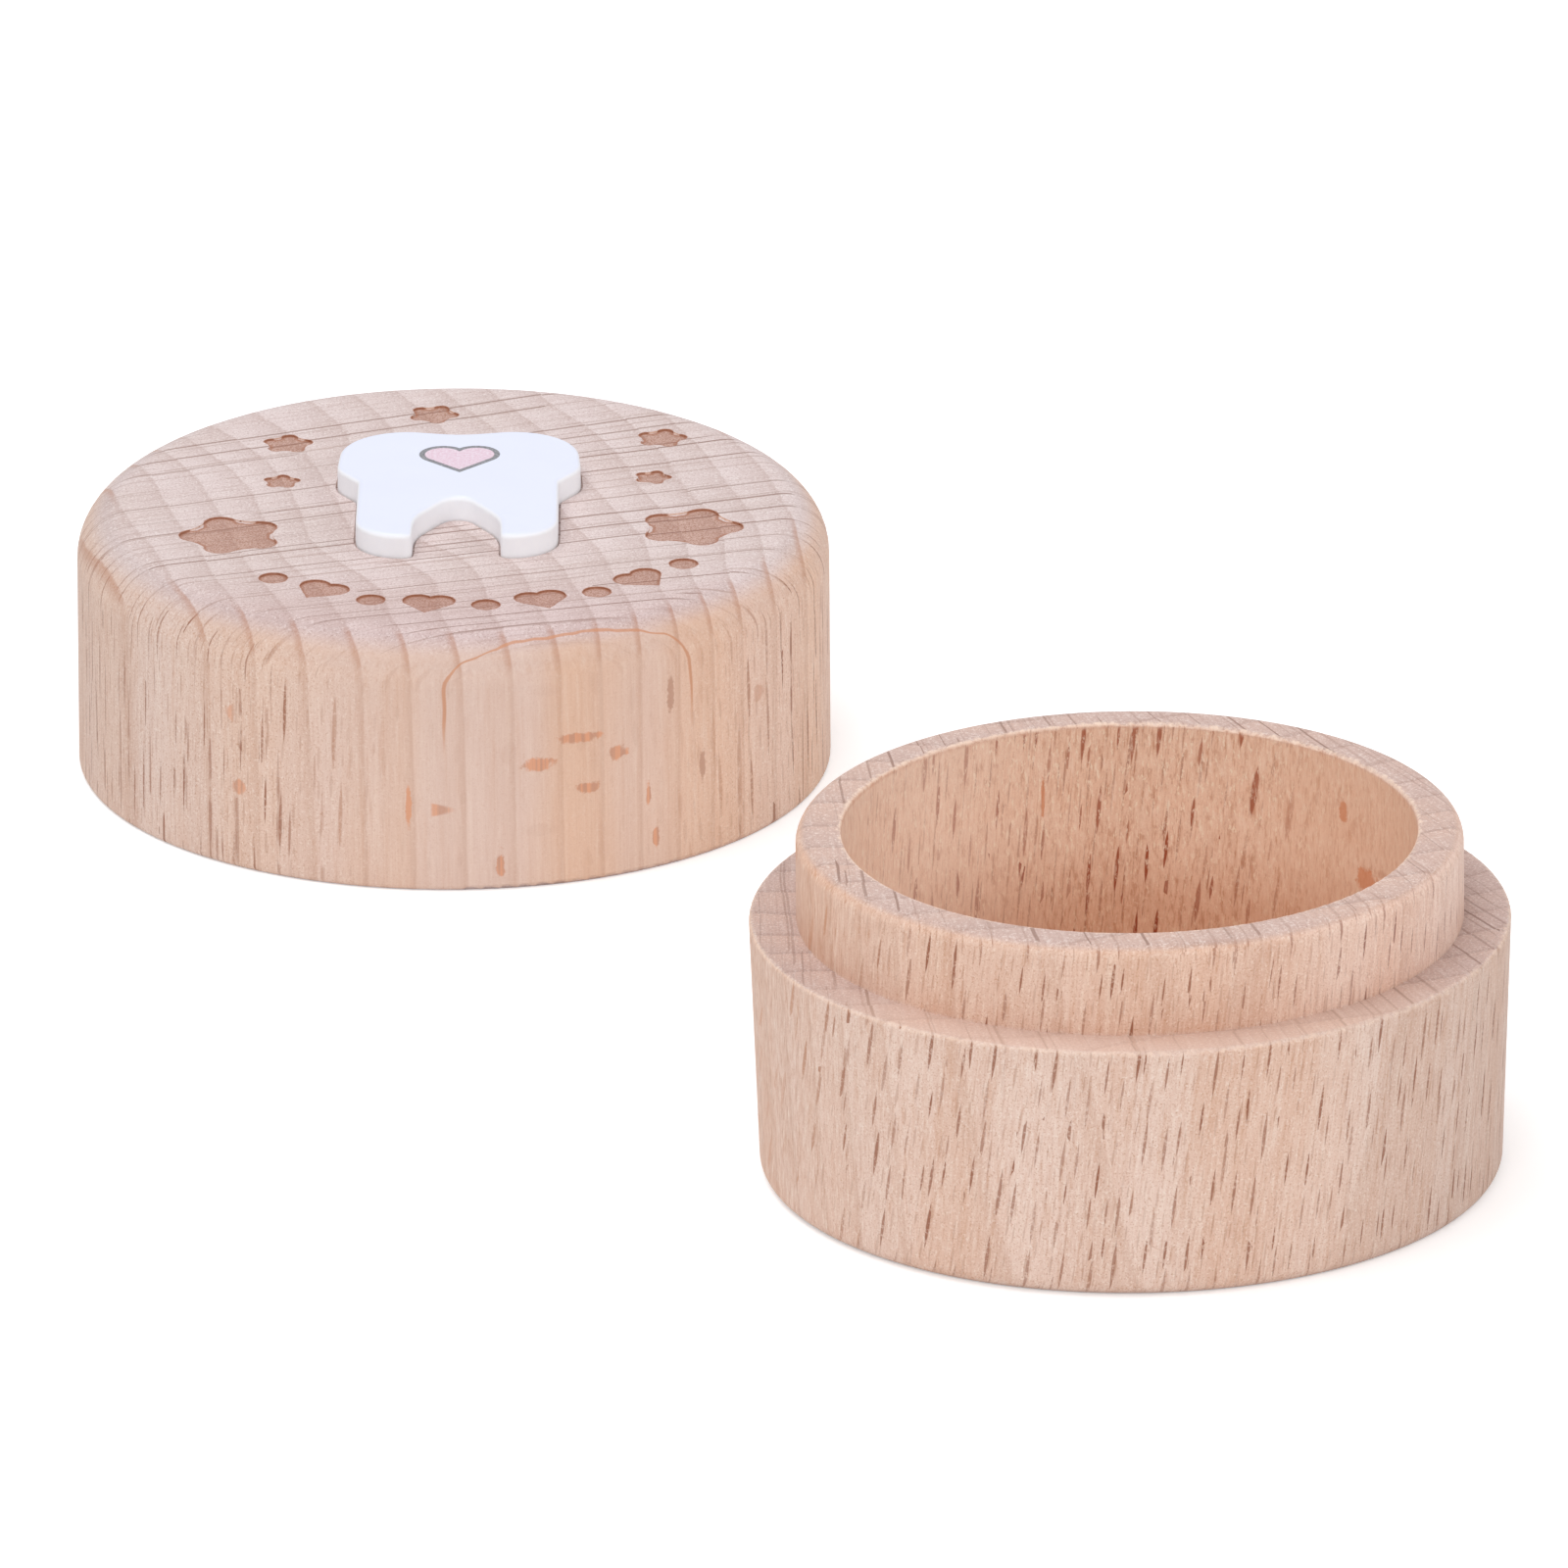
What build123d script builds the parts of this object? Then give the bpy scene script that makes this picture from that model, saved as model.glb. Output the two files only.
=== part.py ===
from build123d import *
import math
import os

# A two piece turned beech keepsake box: a cup with a spigot, a cap that drops over it,
# and a tooth shaped plaque let into the cap. All sizes are in millimetres.

os.makedirs("parts", exist_ok=True)

# Outside of the closed box
body_radius = 25.0
foot_taper = 0.65
ledge_height = 17.4
lid_height = 17.6

# Spigot, cup and the fit between the two turnings
ledge_width = 3.1
spigot_height = 6.1
spigot_wall = 3.0
cup_floor = 4.5
lid_clearance = 0.25
lid_top_thickness = 6.2

# Turned edges
foot_edge_radius = 1.0
ledge_edge_radius = 0.3
spigot_edge_radius = 1.0
cup_mouth_radius = 0.25
cup_floor_radius = 1.5
lid_shoulder_radius = 3.25
lid_rim_radius = 0.4
lid_mouth_chamfer = 0.5
lid_pocket_corner_radius = 1.2

# Plaque, and the engraved seat that locates it
plaque_width = 16.1
plaque_height = 19.4
plaque_thickness = 1.85
plaque_edge_radius = 0.35
plaque_shift = 0.36
plaque_turn = -0.8
seat_margin = 0.14
seat_depth = 0.25
glue_inset = 0.4
glue_thickness = 0.05

# Engraving round the plaque
engraving_depth = 0.12
engraving_shift = 0.8
star_large_radius = 3.95
star_medium_radius = 1.9
star_small_radius = 1.4
heart_width = 3.5
dot_radius = 0.95

# Where the cap stands when it is taken off, measured from the cup's centre
lid_stand_left = 44.5
lid_stand_back = 74.6

# One overrun serves every cut
cut_overrun = 1.0

# Right half of the plaque's outline, from the dip in its crown down to the arch between its
# roots. Each row has shares of half the width, of the height, and of half the width for
# the rounding of that corner
plaque_outline_shares = [
    (0.000, 0.965, 0.75),
    (0.955, 1.042, 0.55),
    (1.010, 0.640, 0.32),
    (0.828, 0.525, 0.10),
    (0.838, 0.000, 0.38),
    (0.368, 0.000, 0.07),
    (0.358, 0.182, 0.60),
    (0.000, 0.422, 0.16),
]
plaque_centre_share = 0.474

# Places of the stars as shares of the flat top's radius, then the turn of one point in degrees
large_star_place_shares = [(-0.676, -0.216, 180), (0.727, -0.175, 0)]
medium_star_place_shares = [(-0.060, 0.805, 65), (-0.506, 0.561, 85), (0.639, 0.589, 7)]
small_star_place_shares = [(-0.524, 0.239, 84), (0.611, 0.253, 0)]
star_waist_share = 0.68
star_tip_rounding_share = 0.24
star_waist_rounding_share = 0.70

# Small motifs on an arc in front of the plaque
motif_count = 9
motif_arc_share = 0.825
motif_start_angle = 225
motif_end_angle = 324

# Sizes that follow from the ones above
foot_radius = body_radius - foot_taper
spigot_radius = body_radius - ledge_width
cup_radius = spigot_radius - spigot_wall
spigot_top = ledge_height + spigot_height
lid_pocket_radius = spigot_radius + lid_clearance
lid_pocket_depth = lid_height - lid_top_thickness
flat_top_radius = body_radius - lid_shoulder_radius
lid_place = Location((-lid_stand_left, lid_stand_back, 0))
seat_floor = lid_height - seat_depth
engraving_floor = lid_height - engraving_depth


def corner_rounded(points, radii):
    """A closed XZ profile through the points, each corner rounded by its own radius."""
    face = make_face(Polyline(*[(x, 0, z) for x, z in points], close=True))
    for (x, z), radius in zip(points, radii):
        if radius > 0:
            corner = face.vertices().sort_by_distance((x, 0, z))[0]
            face = fillet(corner, radius)
    return face


def star_face(tip_radius):
    """A plump five pointed star, its tips and waists both rounded."""
    points = []
    for step in range(10):
        reach = tip_radius if step % 2 == 0 else tip_radius * star_waist_share
        angle = math.radians(36 * step)
        points.append((reach * math.cos(angle), reach * math.sin(angle)))
    face = make_face(Polyline(*points, close=True))
    for step, (x, y) in enumerate(points):
        rounding = star_tip_rounding_share if step % 2 == 0 else star_waist_rounding_share
        corner = face.vertices().sort_by_distance((x, y, 0))[0]
        face = fillet(corner, tip_radius * rounding)
    return face


def heart_face(width):
    """A small heart: a square on its corner with a round lobe on each upper side."""
    lobe_diameter = width / (1 + math.sqrt(1 / 2))
    lobe_shift = lobe_diameter / 2 * math.sqrt(1 / 2)
    point = Rot(0, 0, 45) * Rectangle(lobe_diameter, lobe_diameter)
    lobes = [Pos(side * lobe_shift, lobe_shift) * Circle(lobe_diameter / 2) for side in (-1, 1)]
    return point + lobes


def plaque_outline(margin):
    """The tooth silhouette, grown by a margin."""
    half = plaque_width / 2
    right = [(half * x, plaque_height * y, half * r) for x, y, r in plaque_outline_shares]
    left = [(-x, y, r) for x, y, r in reversed(right[1:-1])]
    face = make_face(Polyline(*[(x, y) for x, y, r in right + left], close=True))
    for x, y, radius in right + left:
        corner = face.vertices().sort_by_distance((x, y, 0))[0]
        face = fillet(corner, radius)
    if margin != 0:
        face = offset(face, margin)
    return Pos(0, -plaque_height * plaque_centre_share) * face


# Cup: foot, outer wall, ledge, spigot and bored inside
cup_profile = corner_rounded(
    [
        (0, 0),
        (foot_radius, 0),
        (body_radius, ledge_height),
        (spigot_radius, ledge_height),
        (spigot_radius, spigot_top),
        (cup_radius, spigot_top),
        (cup_radius, cup_floor),
        (0, cup_floor),
    ],
    [0, foot_edge_radius, ledge_edge_radius, 0, spigot_edge_radius, cup_mouth_radius, cup_floor_radius, 0],
)
base = revolve(cup_profile, Axis.Z)

# Cap: its rim stands on the ledge, its pocket clears the spigot
cap_profile = corner_rounded(
    [
        (lid_pocket_radius + lid_mouth_chamfer, 0),
        (body_radius, 0),
        (body_radius, lid_height),
        (0, lid_height),
        (0, lid_pocket_depth),
        (lid_pocket_radius, lid_pocket_depth),
        (lid_pocket_radius, lid_mouth_chamfer),
    ],
    [0, lid_rim_radius, lid_shoulder_radius, 0, 0, lid_pocket_corner_radius, 0],
)
lid = revolve(cap_profile, Axis.Z)

# Engraved stars, arc of motifs and the plaque's seat
plaque_place = Location((plaque_shift, 0, 0), (0, 0, plaque_turn))
engraving_cut = engraving_depth + cut_overrun
star_sets = [
    (star_large_radius, large_star_place_shares),
    (star_medium_radius, medium_star_place_shares),
    (star_small_radius, small_star_place_shares),
]
for tip_radius, place_shares in star_sets:
    star = extrude(star_face(tip_radius), engraving_cut)
    for x_share, y_share, turn in place_shares:
        spot = Location((flat_top_radius * x_share, flat_top_radius * y_share, engraving_floor), (0, 0, turn))
        lid = lid - spot * star

heart = extrude(heart_face(heart_width), engraving_cut)
dot = extrude(Circle(dot_radius), engraving_cut)
motif_arc_radius = flat_top_radius * motif_arc_share
for number in range(motif_count):
    angle = motif_start_angle + (motif_end_angle - motif_start_angle) * number / (motif_count - 1)
    x = engraving_shift + motif_arc_radius * math.cos(math.radians(angle))
    y = motif_arc_radius * math.sin(math.radians(angle))
    spot = Location((x, y, engraving_floor), (0, 0, angle + 90))
    motif = dot if number % 2 == 0 else heart
    lid = lid - spot * motif

seat = extrude(plaque_outline(seat_margin), seat_depth + cut_overrun)
lid = lid - plaque_place * Pos(0, 0, seat_floor) * seat

# Plaque on a thin film of glue, both inside the seat
glue = plaque_place * Pos(0, 0, seat_floor) * extrude(plaque_outline(-glue_inset), glue_thickness)
plaque_blank = extrude(plaque_outline(0), plaque_thickness)
top_rim = plaque_blank.faces().sort_by(Axis.Z)[-1].edges()
plaque = fillet(top_rim, plaque_edge_radius)
plaque = plaque_place * Pos(0, 0, seat_floor + glue_thickness) * plaque

export_step(base, "parts/base.step")
export_step(lid_place * lid, "parts/lid.step")
export_step(lid_place * plaque, "parts/tooth_plaque.step")
export_step(lid_place * glue, "parts/plaque_glue.step")
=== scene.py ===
import math
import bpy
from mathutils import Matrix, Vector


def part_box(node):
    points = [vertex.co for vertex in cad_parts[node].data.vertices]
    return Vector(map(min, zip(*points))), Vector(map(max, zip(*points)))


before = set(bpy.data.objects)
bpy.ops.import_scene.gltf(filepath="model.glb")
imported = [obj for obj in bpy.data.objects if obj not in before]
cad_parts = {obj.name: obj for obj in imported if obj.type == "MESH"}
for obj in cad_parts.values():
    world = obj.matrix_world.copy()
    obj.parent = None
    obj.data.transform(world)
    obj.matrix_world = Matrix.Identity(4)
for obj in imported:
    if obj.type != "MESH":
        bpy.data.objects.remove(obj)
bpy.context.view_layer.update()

from types import SimpleNamespace

import bpy
from mathutils import Matrix, Vector


# Camera
# A long lens five metres off, a little above the box, as in a studio product shot.
# The look-at point lies on the table between the cup and the cap.
look_at = Vector((-0.022619, 0.06887, 0.0))
look_down = 0.36976
roll = -0.00681
camera_range = 5.0
lens_pixels = 76748.5
image_pixels = 1600.0
sensor_width = 36.0
camera_data = bpy.data.cameras.new("camera")
camera_data.sensor_fit = "HORIZONTAL"
camera_data.sensor_width = sensor_width
camera_data.lens = sensor_width * lens_pixels / image_pixels
camera_data.clip_start = 0.05
camera_data.clip_end = 20.0
camera = bpy.data.objects.new("camera", camera_data)
bpy.context.scene.collection.objects.link(camera)
forward = Vector((0.0, math.cos(look_down), -math.sin(look_down)))
right = Vector((1.0, 0.0, 0.0))
up = right.cross(forward)
right_rolled = math.cos(roll) * right + math.sin(roll) * up
up_rolled = math.cos(roll) * up - math.sin(roll) * right
camera.location = look_at - camera_range * forward
turn = [[right_rolled[i], up_rolled[i], -forward[i]] for i in range(3)]
camera.rotation_mode = "QUATERNION"
camera.rotation_quaternion = Matrix(turn).to_quaternion()
bpy.context.scene.camera = camera
bpy.context.scene.view_settings.view_transform = "Standard"


# Studio light and the white table
# One broad soft box overhead and to the left, a weaker one on the right and a front fill,
# so the turned walls keep a gentle fall-off and the cup's inside stays readable.
def soft_box(name, place, aim, size, watts, tint):
    data = bpy.data.lights.new(name, "AREA")
    data.shape = "DISK"
    data.size = size
    data.energy = watts
    data.color = tint
    lamp = bpy.data.objects.new(name, data)
    lamp.location = place
    lamp.rotation_mode = "QUATERNION"
    lamp.rotation_quaternion = (Vector(aim) - Vector(place)).to_track_quat("-Z", "Y")
    bpy.context.scene.collection.objects.link(lamp)


def studio_node(tree, kind, **sockets):
    """A new node of the room or the table, with its named sockets set."""
    node = tree.nodes.new("ShaderNode" + kind)
    for name, value in sockets.items():
        node.inputs[name].default_value = value
    return node


soft_box("soft_top", (-0.25, 0.10, 0.75), (-0.02, 0.05, 0.0), 0.70, 2.8, (0.98, 0.99, 1.0))
soft_box("front_fill", (-0.05, -0.85, 0.50), (-0.02, 0.05, 0.01), 0.60, 2.75, (1.0, 0.99, 0.98))
soft_box("right_fill", (0.80, 0.0, 0.45), (-0.02, 0.05, 0.01), 0.50, 1.4, (1.0, 0.98, 0.96))

# The camera and reflections see a white room, and the object gets a plain weaker light
world = bpy.data.worlds.new("studio")
bpy.context.scene.world = world
world.use_nodes = True
sky = world.node_tree
sky.nodes.clear()
sky_out = studio_node(sky, "OutputWorld")
room = studio_node(sky, "Background", Color=(0.95, 0.97, 1.0, 1.0), Strength=0.50)
white = studio_node(sky, "Background", Color=(1.0, 1.0, 1.0, 1.0), Strength=1.0)
sky_ray = studio_node(sky, "LightPath")
sky_pick = studio_node(sky, "MixShader")
mirrored = studio_node(sky, "Math")
mirrored.operation = "MAXIMUM"
seen = studio_node(sky, "Math")
seen.operation = "MAXIMUM"
for source, target in (
    (sky_ray.outputs["Is Glossy Ray"], mirrored.inputs[0]),
    (sky_ray.outputs["Is Transmission Ray"], mirrored.inputs[1]),
    (sky_ray.outputs["Is Camera Ray"], seen.inputs[0]),
    (mirrored.outputs[0], seen.inputs[1]),
    (seen.outputs[0], sky_pick.inputs["Fac"]),
    (room.outputs["Background"], sky_pick.inputs[1]),
    (white.outputs["Background"], sky_pick.inputs[2]),
    (sky_pick.outputs["Shader"], sky_out.inputs["Surface"]),
):
    sky.links.new(source, target)

# The table glows a little for the camera alone, so that it reads white and keeps its shadow
table_half = 3.0
table_corners = [
    (-table_half, -table_half, 0), (table_half, -table_half, 0),
    (table_half, table_half, 0), (-table_half, table_half, 0),
]
floor_mesh = bpy.data.meshes.new("table_top")
floor_mesh.from_pydata(table_corners, [], [(0, 1, 2, 3)])
floor = bpy.data.objects.new("table_top", floor_mesh)
bpy.context.scene.collection.objects.link(floor)
floor_look = bpy.data.materials.new("white_table")
floor_look.use_nodes = True
table = floor_look.node_tree
table_paint = table.nodes["Principled BSDF"]
table_paint.inputs["Base Color"].default_value = (0.93, 0.93, 0.93, 1.0)
table_paint.inputs["Roughness"].default_value = 0.9
table_paint.inputs["Specular IOR Level"].default_value = 0.1
table_glow = studio_node(table, "Emission", Color=(1.0, 1.0, 1.0, 1.0), Strength=0.32)
table_dark = studio_node(table, "Emission", Strength=0.0)
table_ray = studio_node(table, "LightPath")
table_pick = studio_node(table, "MixShader")
table_sum = studio_node(table, "AddShader")
for source, target in (
    (table_ray.outputs["Is Camera Ray"], table_pick.inputs["Fac"]),
    (table_dark.outputs["Emission"], table_pick.inputs[1]),
    (table_glow.outputs["Emission"], table_pick.inputs[2]),
    (table_paint.outputs["BSDF"], table_sum.inputs[0]),
    (table_pick.outputs["Shader"], table_sum.inputs[1]),
    (table_sum.outputs["Shader"], table.nodes["Material Output"].inputs["Surface"]),
):
    table.links.new(source, target)
floor_mesh.materials.append(floor_look)


# Cup
# The lower half of the box, turned from one piece of straight grained beech: a foot, a
# ledge and a spigot outside, and a bored inside. It is sanded and left bare.
def srgb(red, green, blue):
    """A colour as it reads on screen, from 0 to 255, as the linear values that a shader takes."""
    values = []
    for part in (red, green, blue):
        part = part / 255.0
        values.append(part / 12.92 if part <= 0.04045 else ((part + 0.055) / 1.055) ** 2.4)
    return (*values, 1.0)


class Finish:
    """Short hand for building the shader nodes of one piece's finish."""

    def __init__(self, name):
        self.material = bpy.data.materials.new(name)
        self.material.use_nodes = True
        self.tree = self.material.node_tree
        self.tree.nodes.clear()
        out = self.tree.nodes.new("ShaderNodeOutputMaterial")
        self.shader = self.tree.nodes.new("ShaderNodeBsdfPrincipled")
        self.tree.links.new(self.shader.outputs["BSDF"], out.inputs["Surface"])

    def place(self):
        return self.tree.nodes.new("ShaderNodeTexCoord").outputs["Object"]

    def facing(self):
        return self.tree.nodes.new("ShaderNodeNewGeometry").outputs["Normal"]

    def feed(self, socket, value):
        if isinstance(value, bpy.types.NodeSocket):
            self.tree.links.new(value, socket)
        else:
            socket.default_value = value

    def calc(self, operation, *values):
        node = self.tree.nodes.new("ShaderNodeMath")
        node.operation = operation
        for socket, value in zip(node.inputs, values):
            self.feed(socket, value)
        return node.outputs[0]

    def plus(self, first, *others):
        for other in others:
            first = self.calc("ADD", first, other)
        return first

    def minus(self, first, other):
        return self.calc("SUBTRACT", first, other)

    def times(self, first, *others):
        for other in others:
            first = self.calc("MULTIPLY", first, other)
        return first

    def linear(self, value, slope, start):
        return self.calc("MULTIPLY_ADD", value, slope, start)

    def length(self, x, y):
        return self.calc("SQRT", self.linear(x, x, self.times(y, y)))

    def turned(self, x, y, angle):
        """x and y along axes that are turned by an angle in radians."""
        turned_x = self.linear(x, math.cos(angle), self.times(y, math.sin(angle)))
        turned_y = self.linear(y, math.cos(angle), self.times(x, -math.sin(angle)))
        return turned_x, turned_y

    def step(self, value, low, high, to_low=0.0, to_high=1.0):
        """Eases from to_low, where the value is low, over to to_high, where it is high."""
        node = self.tree.nodes.new("ShaderNodeMapRange")
        node.interpolation_type = "SMOOTHSTEP"
        for socket, number in zip(node.inputs, (value, low, high, to_low, to_high)):
            self.feed(socket, number)
        return node.outputs[0]

    def split(self, vector):
        node = self.tree.nodes.new("ShaderNodeSeparateXYZ")
        self.feed(node.inputs[0], vector)
        return node.outputs[0], node.outputs[1], node.outputs[2]

    def join(self, x, y, z):
        node = self.tree.nodes.new("ShaderNodeCombineXYZ")
        for socket, value in zip(node.inputs, (x, y, z)):
            self.feed(socket, value)
        return node.outputs[0]

    def stretched(self, places, pitches):
        return self.join(*[self.times(place, pitch) for place, pitch in zip(places, pitches)])

    def noise(self, vector, scale=1.0, detail=2.0, rough=0.5):
        node = self.tree.nodes.new("ShaderNodeTexNoise")
        self.feed(node.inputs["Vector"], vector)
        node.inputs["Scale"].default_value = scale
        node.inputs["Detail"].default_value = detail
        node.inputs["Roughness"].default_value = rough
        return node.outputs["Fac"]

    def cells(self, vector, jitter):
        node = self.tree.nodes.new("ShaderNodeTexVoronoi")
        self.feed(node.inputs["Vector"], vector)
        node.inputs["Scale"].default_value = 1.0
        node.inputs["Randomness"].default_value = jitter
        return node.outputs["Position"], node.outputs["Color"]

    def mix(self, amount, a, b, blend="MIX"):
        node = self.tree.nodes.new("ShaderNodeMix")
        node.data_type = "RGBA"
        node.blend_type = blend
        self.feed(node.inputs["Factor"], amount)
        self.feed(node.inputs["A"], a)
        self.feed(node.inputs["B"], b)
        return node.outputs["Result"]

    def layered(self, colour, layers):
        """Lays each tone over the colour by its amount."""
        for amount, tone in layers:
            colour = self.mix(amount, colour, srgb(*tone))
        return colour

    def shaded(self, amount, colour, tone):
        """Multiplies the colour by a tone, by an amount."""
        return self.mix(amount, colour, self.mix(1.0, colour, srgb(*tone), "MULTIPLY"))

    def bump(self, height, distance, strength):
        node = self.tree.nodes.new("ShaderNodeBump")
        node.inputs["Strength"].default_value = strength
        node.inputs["Distance"].default_value = distance
        self.feed(node.inputs["Height"], height)
        self.feed(self.shader.inputs["Normal"], node.outputs["Normal"])


def dress(piece, finish):
    """Puts a finish on the whole of a piece."""
    for slot in piece.material_slots:
        slot.material = finish.material


def rays(wood, along, across, height, cell, body, keep):
    """Medullary rays: spindles where they are cut across, long bands where cut lengthwise.

    cell and body are (along, across, height) in millimetres, body as half sizes. keep is
    the share of cells with a ray. Sizes run from 0.6 to 1.3, and tones from 0.45 to 1.
    """
    grid = [wood.calc("DIVIDE", place, pitch) for place, pitch in zip((along, across, height), cell)]
    middle, colour = wood.cells(wood.join(*grid), 0.9)
    chance, size, tone = wood.split(colour)
    size = wood.linear(size, 0.7, 0.6)
    gaps = []
    for at, centre, pitch, reach in zip(grid, wood.split(middle), cell, body):
        gap = wood.calc("ABSOLUTE", wood.minus(at, centre))
        gaps.append(wood.times(gap, pitch / reach))
    gap_along, gap_across, gap_up = gaps
    thin = wood.calc("DIVIDE", gap_across, size)
    tall = wood.calc("DIVIDE", gap_up, size)
    span = wood.linear(tall, tall, thin)
    inside = wood.times(wood.step(span, 1.0, 0.55), wood.step(gap_along, 1.0, 0.75))
    return wood.times(inside, wood.calc("LESS_THAN", chance, keep), wood.linear(tone, 0.55, 0.45))


def beech_grain(wood, centre, pith, spacing, lean, seed, dash, thread):
    """The solid grain of one turning, so that every cut through it shows the right figure.

    All sizes are in millimetres. centre is the turning axis. pith is the tree's axis beside
    it, with its lean in y for each millimetre of height. spacing is one year's growth, lean
    is the tilt of the rays, and seed moves the noise. dash and thread are the short and the
    long rays, each as (cell, body, keep).
    """
    x, y, z = wood.split(wood.place())
    x = wood.linear(x, 1000.0, -centre[0])
    y = wood.linear(y, 1000.0, -centre[1])
    z = wood.times(z, 1000.0)
    shifted = wood.plus(x, seed)
    place = wood.join(shifted, y, z)
    drawn = wood.stretched((shifted, y, z), (1.0, 1.0, 0.12))
    facing_x, facing_y, facing_z = wood.split(wood.facing())
    flatness = wood.calc("ABSOLUTE", facing_z)

    # Distance and direction from the pith, with the slow wander of a real trunk
    wander = wood.linear(wood.noise(drawn, 0.045, 1.0), 7.0, -3.5)
    wobble = wood.linear(wood.noise(drawn, 0.30, 2.0), 0.36, -0.18)
    from_x = wood.minus(x, pith[0])
    from_y = wood.minus(y, pith[1])
    straight = wood.plus(wood.length(from_x, from_y), wander)
    from_y = wood.plus(from_y, wood.times(z, pith[2]))
    distance = wood.length(from_x, from_y)
    along = wood.plus(distance, wander, wobble)
    turned_x, turned_y = wood.turned(from_x, from_y, math.atan2(-pith[1], -pith[0]))
    across = wood.times(wood.calc("ARCTAN2", turned_y, turned_x), math.hypot(pith[0], pith[1]))

    # How squarely a wall cuts the rays, and where the long ones show
    end_on = wood.linear(facing_x, from_x, wood.times(facing_y, from_y))
    end_on = wood.step(wood.calc("ABSOLUTE", wood.calc("DIVIDE", end_on, distance)), 0.25, 0.75)
    level = wood.calc("MAXIMUM", end_on, wood.step(flatness, 0.90, 0.995))

    # Each year darkens outward and ends in a soft line
    year = wood.calc("DIVIDE", along, spacing)
    part = wood.calc("FRACT", year)
    late = wood.times(wood.step(part, 0.10, 0.85), wood.step(part, 1.0, 0.92))
    line = wood.times(wood.step(part, 0.78, 0.94), wood.step(part, 1.0, 0.95))
    year_tone = wood.noise(wood.join(wood.calc("FLOOR", year), 3.7, seed), 1.7, 0.0)

    # The rays step a little at each year and sway together
    sway = wood.noise(wood.stretched((along, across, z), (0.10, 0.10, 0.02)), 1.0, 1.0)
    across = wood.plus(across, wood.times(year_tone, 0.45), wood.times(sway, 0.45))
    leaned = wood.minus(across, wood.times(z, lean))
    fine = rays(wood, along, wood.plus(leaned, 7.3), z, (7.0, 0.62, 2.6), (6.0, 0.07, 0.9), 0.9)
    threads = wood.times(rays(wood, along, wood.plus(across, 3.1), z, *thread), level)

    # Fibres, streaks and lines are drawn out along the grain. Pores and specks are round
    fibre = wood.noise(wood.stretched((straight, leaned, z), (7.0, 7.0, 0.30)), 1.0, 3.0, 0.65)
    streak = wood.noise(wood.stretched((straight, leaned, z), (2.3, 2.3, 0.05)), 1.0, 3.0, 0.6)
    ray_lines = wood.noise(wood.stretched((along, across, z), (0.30, 3.0, 0.3)), 1.0, 3.0, 0.65)
    broken = wood.noise(wood.stretched((along, across, z), (0.1, 1.0, 0.35)), 1.0, 1.0)
    panel = wood.noise(wood.join(wood.times(leaned, 0.24), wood.times(straight, 0.02), seed), 1.0, 1.0)
    return SimpleNamespace(
        x=x, y=y, z=z, radius=wood.length(x, y), place=place, facing=facing_z,
        end_grain=wood.step(flatness, 0.58, 0.97), end_on=end_on, along=along, across=across,
        leaned=leaned, late=late, line=line, dashes=rays(wood, along, leaned, z, *dash), fine=fine,
        threads=threads, fibre=fibre, streak=streak, ray_lines=ray_lines, broken=broken,
        panel=panel, patch=wood.noise(drawn, 0.10), pores=wood.noise(place, 8.0, 2.0, 0.7),
        speck=wood.noise(place, 5.0, 2.0, 0.8), ragged=wood.noise(place, 3.4, 2.0, 0.7),
    )


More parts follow.
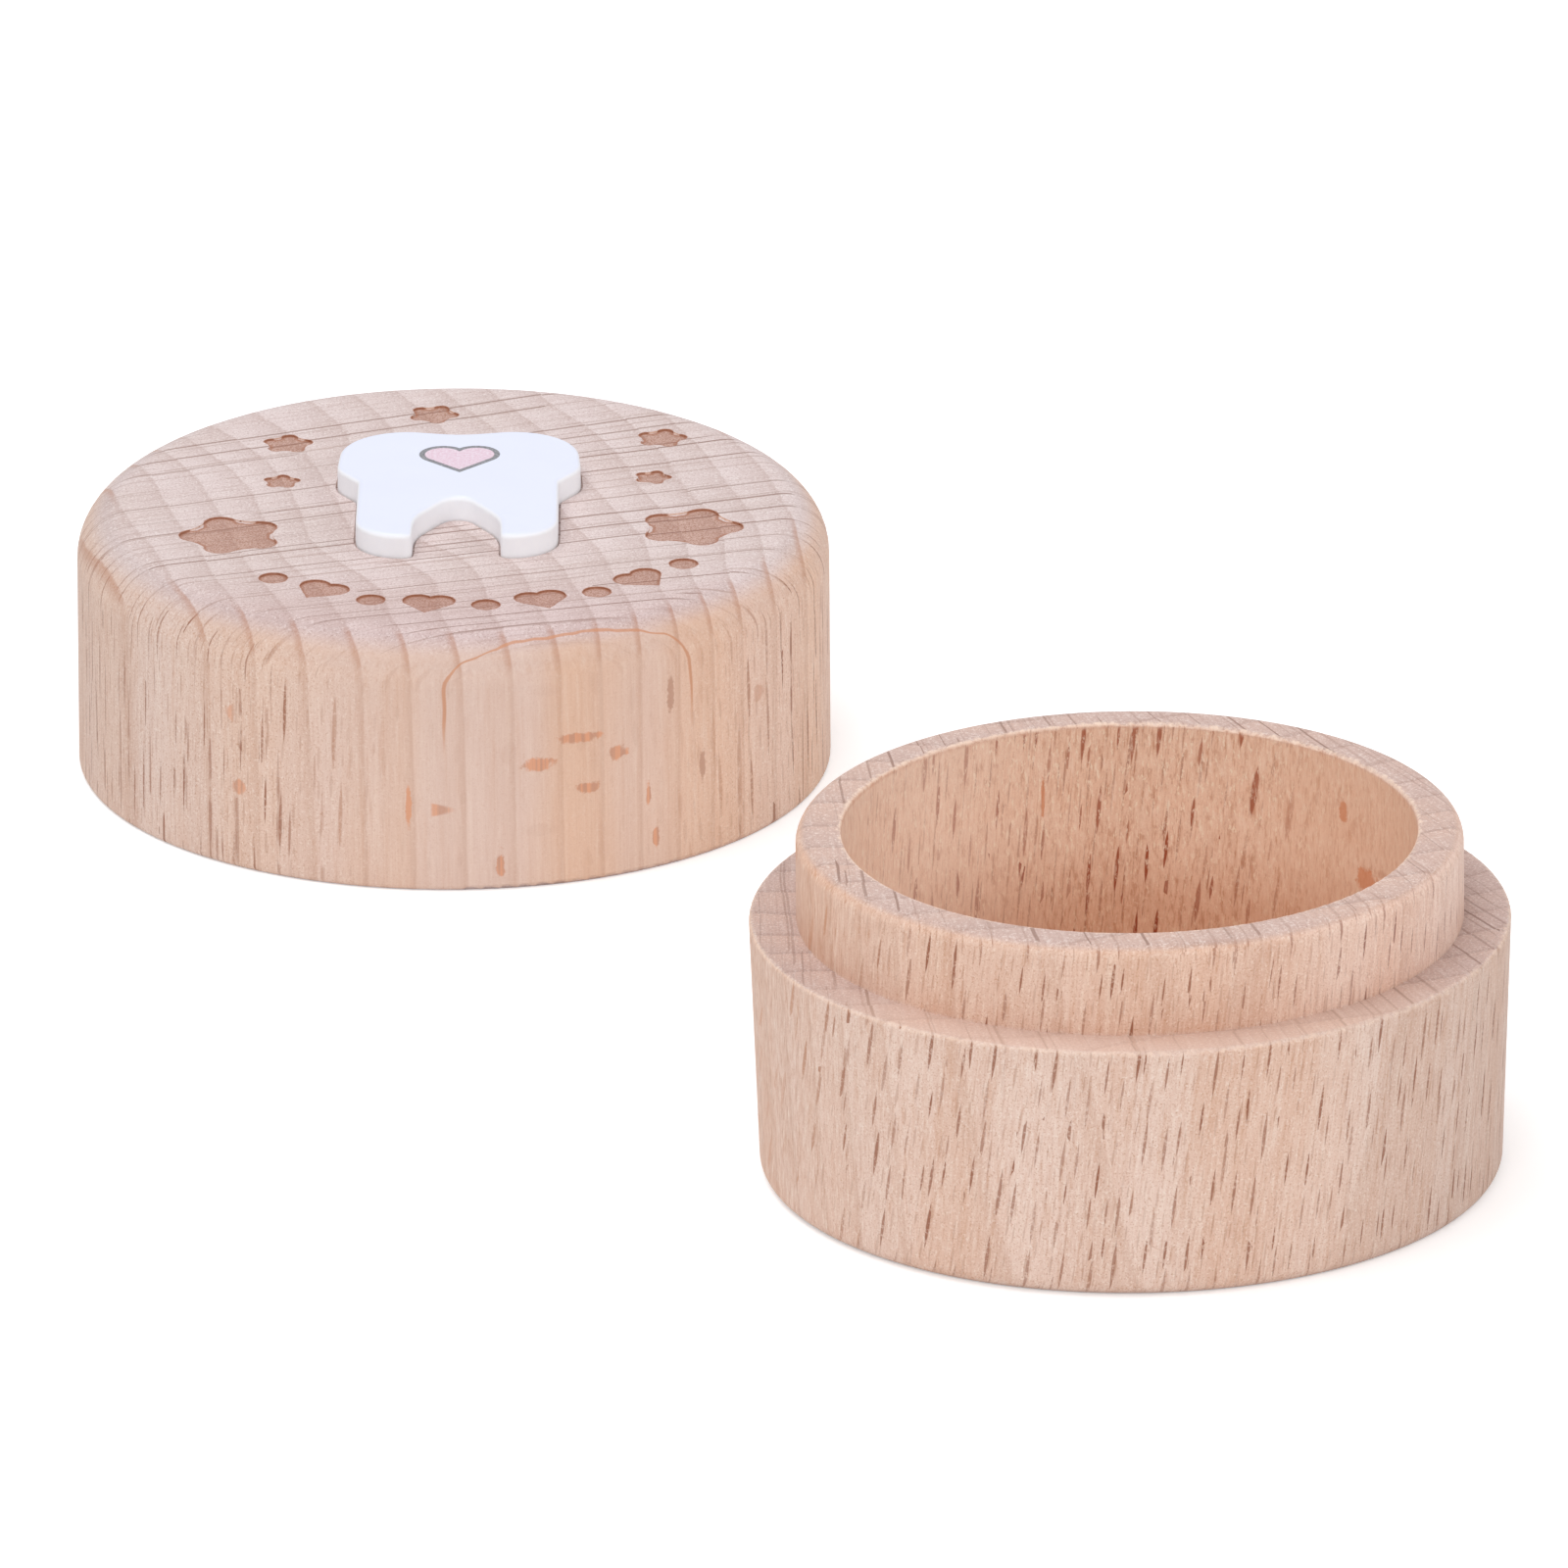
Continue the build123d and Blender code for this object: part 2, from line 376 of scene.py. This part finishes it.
def beech(name, tones, **growth):
    """Bare sanded beech: its finish, its grain and its colour.

    tones holds the colours of walls and tops, and how strongly each figure shows on them.
    """
    wood = Finish(name)
    grain = beech_grain(wood, **growth)

    # Upright walls: pale wood with streaks, years and fibres, and the brown of the cut rays
    fibre_depth = wood.linear(grain.end_on, tones.end_fibre - tones.flat_fibre, tones.flat_fibre)
    grit = wood.linear(grain.end_on, 0.7, 0.3)
    wall = wood.mix(wood.step(grain.patch, 0.36, 0.66), tones.wall, tones.wall_patch)
    wall = wood.layered(wall, (
        (wood.times(grain.end_on, tones.panels, wood.step(grain.panel, 0.47, 0.55)), (238, 212, 198)),
        (wood.step(grain.x, -7.0, -19.0, 0.0, tones.left_side), (227, 206, 196)),
        (wood.step(grain.x, 10.0, 22.0, 0.0, tones.right_side), (243, 199, 170)),
        (wood.step(grain.streak, 0.50, 0.72, 0.0, tones.streaks), (208, 161, 130)),
        (wood.step(grain.streak, 0.50, 0.28, 0.0, tones.streaks), (241, 219, 203)),
        (wood.times(grain.late, tones.wall_late), (206, 166, 142)),
        (wood.times(grain.line, tones.wall_line), (186, 140, 114)),
        (wood.times(wood.step(grain.fibre, 0.50, 0.78), fibre_depth), (192, 140, 109)),
        (wood.times(wood.step(grain.fibre, 0.50, 0.24), fibre_depth), (249, 231, 217)),
        (wood.times(wood.step(grain.speck, 0.53, 0.68, 0.0, 0.38), grit), (252, 238, 228)),
        (wood.times(wood.step(grain.pores, 0.53, 0.70, 0.0, 0.66), grit), (192, 142, 112)),
        (wood.times(grain.fine, wood.linear(grain.end_on, 0.32, 0.10)), (176, 128, 102)),
    ))
    brown = wood.mix(grain.end_on, srgb(208, 150, 114), srgb(150, 94, 68))
    broken = wood.times(wood.step(grain.broken, 0.42, 0.54), tones.wall_threads)
    wall = wood.mix(wood.times(grain.threads, broken), wall, brown)
    ragged = wood.step(grain.ragged, 0.34, 0.50, 0.35, 1.0)
    dash_strength = wood.linear(grain.end_on, 0.96 - tones.flat_dashes, tones.flat_dashes)
    grain.dash_depth = wood.times(grain.dashes, ragged, dash_strength)
    wall = wood.mix(grain.dash_depth, wall, brown)

    # End grain on the tops: greyer, with the years as bands and the long rays as threads
    top = wood.mix(wood.step(grain.patch, 0.36, 0.66), tones.top, tones.top_patch)
    top = wood.layered(top, (
        (wood.times(grain.late, tones.top_late), (198, 174, 168)),
        (wood.times(grain.line, tones.top_line), (178, 148, 138)),
        (wood.step(grain.ray_lines, 0.52, 0.68, 0.0, 0.24), (182, 154, 146)),
        (wood.step(grain.ray_lines, 0.48, 0.32, 0.0, 0.22), (244, 234, 231)),
        (wood.step(grain.pores, 0.52, 0.68, 0.0, 0.62), (172, 144, 136)),
        (wood.step(grain.speck, 0.51, 0.66, 0.0, 0.48), (250, 241, 238)),
        (wood.times(grain.fine, 0.18), (172, 138, 124)),
        (wood.times(grain.dashes, 0.45), (160, 124, 108)),
        (wood.times(grain.threads, tones.top_threads), (146, 114, 102)),
    ))
    return wood, grain, wood.mix(grain.end_grain, wall, top)


def finish_wood(wood, grain, colour):
    """Colour, roughness and the raised fibre of bare sanded wood."""
    rough = wood.linear(grain.dashes, -0.12, wood.linear(grain.fibre, 0.18, 0.52))
    wood.feed(wood.shader.inputs["Base Color"], colour)
    wood.feed(wood.shader.inputs["Roughness"], rough)
    wood.shader.inputs["Specular IOR Level"].default_value = 0.28
    relief = wood.minus(wood.times(grain.fibre, 0.5), wood.times(grain.dashes, 0.8))
    wood.bump(wood.plus(relief, wood.times(grain.pores, 0.25)), 0.00004, 0.6)


def fleck(wood, grain, place, size, side):
    """1 in a ragged fleck at (x, z) in mm, on the wall at the back (side 1) or front (side -1)."""
    (place_x, place_z), (half_width, half_height) = place, size
    aside = wood.linear(grain.x, 1.0 / half_width, -place_x / half_width)
    lifted = wood.linear(grain.z, 1.0 / half_height, -place_z / half_height)
    ragged = wood.linear(wood.noise(grain.place, 1.6, 3.0, 0.7), 1.6, -0.8)
    inside = wood.step(wood.plus(wood.length(aside, lifted), ragged), 1.05, 0.65)
    return wood.times(inside, wood.calc("GREATER_THAN", wood.times(grain.y, side), 0.0))


def turned_edge(wood, grain, edge_radius, edge_height, reach):
    """1 at a turned edge of this radius and height in mm, fading unevenly over its reach."""
    gap = wood.length(wood.minus(grain.radius, edge_radius), wood.minus(grain.z, edge_height))
    ragged = wood.linear(wood.noise(grain.place, 1.9, 3.0, 0.75), reach * 2.4, reach * -1.0)
    return wood.step(wood.minus(gap, ragged), reach * 0.5, reach * -0.3)


def bored_inside(wood, grain, colour):
    """The bored inside: torn and fuzzy fibres, broad red rays, painted shade with depth and painted light on
    its left.
    """
    torn = wood.noise(wood.stretched((grain.x, grain.y, grain.z), (3.2, 3.2, 0.9)), 1.0, 3.0, 0.7)
    fuzz = wood.noise(wood.stretched((grain.x, grain.y, grain.z), (4.4, 4.4, 1.5)), 1.0, 3.0, 0.75)
    broad_ray = ((14.0, 2.0, 5.2), (12.5, 0.18, 1.65), 0.92)
    broad = rays(wood, grain.along, wood.plus(grain.leaned, 2.6), grain.z, *broad_ray)
    broad = wood.times(broad, wood.step(torn, 0.30, 0.46, 0.5, 1.0), grain.end_on, 1.25)
    on_floor = wood.step(grain.z, 7.0, 4.7)
    tool_marks = wood.noise(wood.join(wood.times(grain.radius, 1.7), 0.0, 0.0), 1.0, 2.0)
    bored = wood.mix(1.0, colour, srgb(255, 245, 232), "MULTIPLY")
    bored = wood.layered(bored, (
        (0.50, (255, 228, 206)),
        (wood.times(grain.dash_depth, 0.40), (164, 92, 62)),
        (wood.step(grain.fibre, 0.50, 0.75, 0.0, 0.50), (206, 150, 112)),
        (wood.step(torn, 0.52, 0.66, 0.0, 0.42), (190, 128, 92)),
        (wood.step(torn, 0.46, 0.34, 0.0, 0.45), (255, 232, 212)),
        (wood.calc("MINIMUM", broad, 1.0), (166, 90, 60)),
        (wood.step(fuzz, 0.54, 0.66, 0.0, 0.75), (255, 238, 216)),
        (wood.step(grain.x, 6.0, 14.0, 0.0, 0.42), (235, 195, 167)),
        (wood.times(wood.step(tool_marks, 0.46, 0.62, 0.0, 0.32), on_floor), (208, 164, 138)),
    ))
    # Painted shade darkens the bore towards its floor
    painted_depth_shade = wood.times(wood.step(grain.z, 17.5, 8.5, 0.0, 0.85), wood.linear(on_floor, -0.70, 1.0))
    bored = wood.shaded(painted_depth_shade, bored, (226, 204, 190))
    # Painted light brightens the left side of the bore
    bored = wood.mix(wood.step(grain.x, -2.0, -15.0, 0.0, 0.36), bored, srgb(255, 238, 224))
    orange_flecks = (
        ((15.6, 15.5), (0.75, 0.85)),
        ((14.1, 19.5), (0.28, 0.95)),
        ((-5.6, 18.6), (0.14, 1.6)),
    )
    for place, size in orange_flecks:
        bored = wood.mix(wood.times(fleck(wood, grain, place, size, 1), 0.65), bored, srgb(214, 132, 84))
    return bored


body_radius = 25.0
ledge_height = 17.4
mouth_radius = 18.9
cup_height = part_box("base")[1][2] * 1000.0
cup_tones = SimpleNamespace(
    wall=srgb(230, 200, 184), wall_patch=srgb(228, 191, 170),
    wall_late=0.14, wall_line=0.16, wall_threads=0.12, flat_dashes=0.75, flat_fibre=0.85, end_fibre=0.46,
    streaks=0.35, panels=0.40, left_side=0.0, right_side=0.0,
    top=srgb(208, 183, 176), top_patch=srgb(215, 186, 174), top_late=0.40, top_line=0.52, top_threads=0.80,
)
wood, grain, colour = beech(
    "beech_cup", cup_tones, centre=(0.0, 0.0), pith=(-25.0, 85.0, -0.06), spacing=3.3, lean=0.085, seed=0.0,
    dash=((14.0, 1.02, 4.4), (12.5, 0.090, 1.60), 0.95), thread=((24.0, 2.0, 9.0), (20.0, 0.12, 4.6), 0.95),
)
on_spigot = wood.step(grain.z, ledge_height - 0.1, ledge_height + 0.3)
colour = wood.shaded(wood.times(on_spigot, 0.8), colour, (255, 247, 240))
in_bore = wood.calc("LESS_THAN", grain.radius, mouth_radius + 0.08)
in_bore = wood.times(in_bore, wood.step(grain.z, cup_height - 0.1, cup_height - 0.5))
colour = wood.mix(in_bore, colour, bored_inside(wood, grain, colour))

# Painted shade greys the right side of the wall, and the spigot is paler on its right side
outer_wall = wood.times(wood.step(grain.end_grain, 0.6, 0.2), wood.minus(1.0, in_bore))
painted_right_shade = wood.times(wood.step(grain.x, 8.0, 22.0), outer_wall, wood.minus(1.0, on_spigot))
colour = wood.shaded(painted_right_shade, colour, (242, 243, 244))
pale_side = wood.times(wood.step(grain.x, 3.0, 22.0), outer_wall, on_spigot)
colour = wood.mix(pale_side, colour, (0.040, 0.060, 0.080, 1.0), "ADD")

# Painted shade darkens the ledge, which is warmer in front, and the turned edges of mouth and ledge get a
# painted highlight
on_ledge = wood.times(wood.step(grain.z, ledge_height + 0.6, ledge_height + 0.2), grain.end_grain)
colour = wood.shaded(on_ledge, colour, (245, 242, 240))
ledge_front = wood.step(grain.y, -9.0, -21.0, 0.0, 0.42)
colour = wood.mix(wood.times(ledge_front, on_ledge), colour, srgb(243, 208, 186))
# A ragged painted highlight runs round the turned edges of mouth and ledge
highlit_edges = ((mouth_radius, cup_height, 0.90), (body_radius, ledge_height, 0.50))
for edge_radius, edge_height, highlight_strength in highlit_edges:
    edge_highlight = wood.times(turned_edge(wood, grain, edge_radius, edge_height, 0.5), highlight_strength)
    colour = wood.mix(edge_highlight, colour, srgb(247, 220, 200))
finish_wood(wood, grain, colour)
dress(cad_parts["base"], wood)


# Cap
# The upper half, turned from the same beech: a thick disc with a round shoulder and a pocket
# underneath that drops over the spigot. Stars and a row of small hearts and dots are laser
# engraved in its top, which browns their floors, and the plaque has its seat there.
cap_centre = (-44.5, 74.6)
cap_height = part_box("lid")[1][2] * 1000.0
cap_tones = SimpleNamespace(
    wall=srgb(225, 197, 183), wall_patch=srgb(227, 190, 166),
    wall_late=0.15, wall_line=0.22, wall_threads=0.80, flat_dashes=0.0, flat_fibre=0.16, end_fibre=0.32,
    streaks=0.22, panels=0.15, left_side=0.47, right_side=0.33,
    top=srgb(226, 208, 205), top_patch=srgb(220, 201, 196), top_late=0.40, top_line=0.22, top_threads=0.95,
)
wood, grain, colour = beech(
    "beech_cap", cap_tones, centre=cap_centre, pith=(-285.0, -92.0, 0.0), spacing=3.0, lean=-0.02, seed=40.0,
    dash=((13.0, 1.35, 6.4), (10.0, 0.095, 2.5), 0.90), thread=((30.0, 2.0, 12.0), (27.0, 0.14, 6.0), 0.97),
)

# Orange flecks on the wall, some of them scattered and the rest placed on its front
scattered_fleck = ((9.0, 3.4, 8.0), (1.0, 0.5, 0.6), 0.60)
front_flecks = (
    ((8.3, 10.3), (1.5, 0.42)),
    ((5.6, 8.7), (1.2, 0.50)),
    ((10.9, 8.8), (0.7, 0.55)),
    ((8.9, 6.7), (0.95, 0.42)),
    ((3.1, 1.7), (0.30, 1.1)),
    ((13.4, 2.3), (0.28, 1.0)),
    ((-3.0, 6.0), (0.22, 1.6)),
    ((12.9, 5.4), (0.18, 0.9)),
)
flecks = rays(wood, grain.along, wood.plus(grain.across, 1.1), grain.z, *scattered_fleck)
for place, size in front_flecks:
    flecks = wood.calc("MAXIMUM", flecks, fleck(wood, grain, place, size, -1))
on_wall = wood.step(grain.end_grain, 0.5, 0.1)
fleck_colour = wood.mix(wood.step(grain.streak, 0.42, 0.56), srgb(222, 154, 116), srgb(196, 142, 116))
colour = wood.mix(wood.times(flecks, on_wall, 0.80), colour, fleck_colour)

# The years show as brown lines round the shoulder, with two rays on its right
shoulder = wood.times(wood.step(grain.facing, 0.20, 0.50), wood.step(grain.facing, 0.995, 0.90))
colour = wood.shaded(shoulder, colour, (248, 248, 249))
colour = wood.mix(wood.times(grain.line, shoulder, 0.42), colour, srgb(190, 138, 112))
brown_rays = (((14.4, 12.1), (0.26, 1.5)), ((16.5, 6.4), (0.22, 1.2)))
for place, size in brown_rays:
    colour = wood.mix(wood.times(fleck(wood, grain, place, size, -1), 0.7), colour, srgb(184, 138, 116))
# Painted shade darkens the front of the flat top
painted_front_shade = wood.times(wood.step(grain.y, -9.0, -20.0), grain.end_grain)
colour = wood.shaded(painted_front_shade, colour, (247, 240, 240))

# One sheet of rays comes out as a thin arched line on the front of the shoulder
sheet_turn = math.radians(18.6)
sheet_distance = 23.45
sheet_wave = wood.noise(wood.stretched((grain.x, grain.y, grain.z), (1.0, 1.0, 0.3)), 0.4, 2.0)
sheet_gap = wood.plus(wood.turned(grain.x, grain.y, sheet_turn)[1], sheet_distance)
sheet_gap = wood.calc("ABSOLUTE", wood.plus(sheet_gap, wood.linear(sheet_wave, 0.5, -0.25)))
sheet_gap = wood.times(sheet_gap, wood.linear(on_wall, 1.3, 1.0))
sheet = wood.times(wood.step(sheet_gap, 0.14, 0.06), wood.step(grain.z, 9.0, 12.5), 0.75)
colour = wood.mix(sheet, colour, srgb(204, 142, 106))


def star_gap(finish, x, y, tip):
    """How far outside a plump star a point lies, in mm: five round lobes on a round middle."""
    reach = finish.length(x, y)
    folded = finish.calc("PINGPONG", finish.calc("ARCTAN2", y, x), math.pi / 5)
    lobe_x = finish.linear(reach, finish.calc("COSINE", folded), -0.605 * tip)
    lobe_y = finish.times(reach, finish.calc("SINE", folded))
    lobe = finish.minus(finish.length(lobe_x, lobe_y), 0.275 * tip)
    return finish.calc("SMOOTH_MIN", lobe, finish.minus(reach, 0.635 * tip), 0.10 * tip)


def heart_gap(finish, x, y, size):
    """How far outside a heart a point lies, in mm. size is half the diagonal of its square."""
    beside = finish.calc("ABSOLUTE", x)
    lobe = finish.length(finish.minus(beside, size / 2), finish.minus(y, size / 2))
    lobe = finish.minus(lobe, size * math.sqrt(0.5))
    point = finish.minus(finish.plus(beside, finish.calc("ABSOLUTE", y)), size)
    return finish.calc("MINIMUM", lobe, finish.times(point, math.sqrt(0.5)))


# Engraving: how far each point of the top lies outside the nearest star, dot or heart.
# A star's place is in shares of the flat top, then come its turn in degrees and its tip in mm
flat_top = 21.75
stars = (
    (-0.676, -0.216, 180, 3.95),
    (0.727, -0.175, 0, 3.95),
    (-0.060, 0.805, 65, 1.9),
    (-0.506, 0.561, 85, 1.9),
    (0.639, 0.589, 7, 1.9),
    (-0.524, 0.239, 84, 1.4),
    (0.611, 0.253, 0, 1.4),
)
arc_radius = flat_top * 0.825
arc_shift = 0.8
arc_start = 225.0
arc_sweep = 99.0
motif_count = 9
dot_radius = 0.95
small_heart = 1.45
far_off = 50.0
burn_gap = far_off
for share_x, share_y, turn, tip in stars:
    beside = wood.minus(grain.x, flat_top * share_x)
    ahead = wood.minus(grain.y, flat_top * share_y)
    star = star_gap(wood, *wood.turned(beside, ahead, math.radians(turn)), tip)
    burn_gap = wood.calc("MINIMUM", burn_gap, star)
for number in range(motif_count):
    angle = arc_start + arc_sweep * number / (motif_count - 1)
    beside = wood.minus(grain.x, arc_shift + arc_radius * math.cos(math.radians(angle)))
    ahead = wood.minus(grain.y, arc_radius * math.sin(math.radians(angle)))
    if number % 2 == 0:
        motif = wood.minus(wood.length(beside, ahead), dot_radius)
    else:
        motif = heart_gap(wood, *wood.turned(beside, ahead, math.radians(angle + 90)), small_heart)
    burn_gap = wood.calc("MINIMUM", burn_gap, motif)

# The laser browns the floor with dark pores, and most along the rim of each cut
burn_gap = wood.plus(burn_gap, wood.linear(wood.noise(grain.place, 2.4, 2.0, 0.7), 0.16, -0.08))
near_top = wood.calc("GREATER_THAN", grain.z, cap_height - 0.6)
burnt = wood.times(wood.step(burn_gap, 0.08, 0.0), near_top)
scorch = wood.mix(1.0, colour, srgb(228, 204, 192), "MULTIPLY")
scorch = wood.mix(wood.step(grain.pores, 0.47, 0.60, 0.0, 0.70), scorch, srgb(160, 110, 88))
colour = wood.mix(burnt, colour, scorch)
rim_burn = wood.times(wood.step(burn_gap, -0.26, -0.06, 0.0, 0.65), burnt)
colour = wood.mix(rim_burn, colour, srgb(162, 104, 76))
finish_wood(wood, grain, colour)
dress(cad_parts["lid"], wood)


# Tooth plaque
# A molar cut from white acrylic sheet, glued into its engraved seat. The face is satin
# and faintly blue, with one small printed heart, and the cut edge is matt and milky.
acrylic = Finish("white_acrylic")
sheet_place = acrylic.place()
sheet_facing = acrylic.split(acrylic.facing())[2]
on_top = acrylic.step(sheet_facing, 0.45, 0.98)
edge_grain = acrylic.noise(sheet_place, 2500.0, 3.0, 0.7)
face_white = acrylic.mix(acrylic.noise(sheet_place, 300.0), srgb(229, 232, 249), srgb(233, 236, 252))
edge_white = acrylic.mix(edge_grain, srgb(246, 248, 254), srgb(252, 253, 255))
colour = acrylic.mix(on_top, edge_white, face_white)

# Printed heart: a grey line round a pink field
heart_shift = (0.45, 4.6)
heart_size = 2.2
line_width = 0.35
print_x, print_y = acrylic.split(sheet_place)[:2]
print_x = acrylic.linear(print_x, 1000.0, -(cap_centre[0] + heart_shift[0]))
print_y = acrylic.linear(print_y, 1000.0, -(cap_centre[1] + heart_shift[1]))
heart = heart_gap(acrylic, print_x, print_y, heart_size)
ink = acrylic.step(acrylic.noise(sheet_place, 5200.0, 2.0, 0.8), 0.35, 0.70)
grey_ink = acrylic.mix(ink, srgb(98, 98, 104), srgb(150, 150, 156))
pink_ink = acrylic.mix(ink, srgb(226, 192, 208), srgb(238, 220, 232))
on_print = acrylic.calc("GREATER_THAN", sheet_facing, 0.9)
colour = acrylic.mix(acrylic.times(acrylic.step(heart, 0.06, 0.0), on_print), colour, grey_ink)
field = acrylic.step(heart, 0.03 - line_width, -0.03 - line_width)
colour = acrylic.mix(acrylic.times(field, on_print), colour, pink_ink)
acrylic.feed(acrylic.shader.inputs["Base Color"], colour)
acrylic.feed(acrylic.shader.inputs["Roughness"], acrylic.linear(on_top, -0.20, 0.55))
acrylic.bump(edge_grain, 0.00003, 0.3)
dress(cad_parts["tooth_plaque"], acrylic)


# Glue film
# A thin clear coat of dried glue under the plaque, spread by hand in the seat and hidden
# once the plaque is down.
dried = Finish("clear_glue")
cloudy = dried.noise(dried.place(), 900.0)
dried.feed(dried.shader.inputs["Base Color"], dried.mix(cloudy, srgb(205, 190, 165), srgb(226, 214, 192)))
dried.feed(dried.shader.inputs["Roughness"], dried.linear(cloudy, 0.2, 0.25))
dress(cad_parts["plaque_glue"], dried)
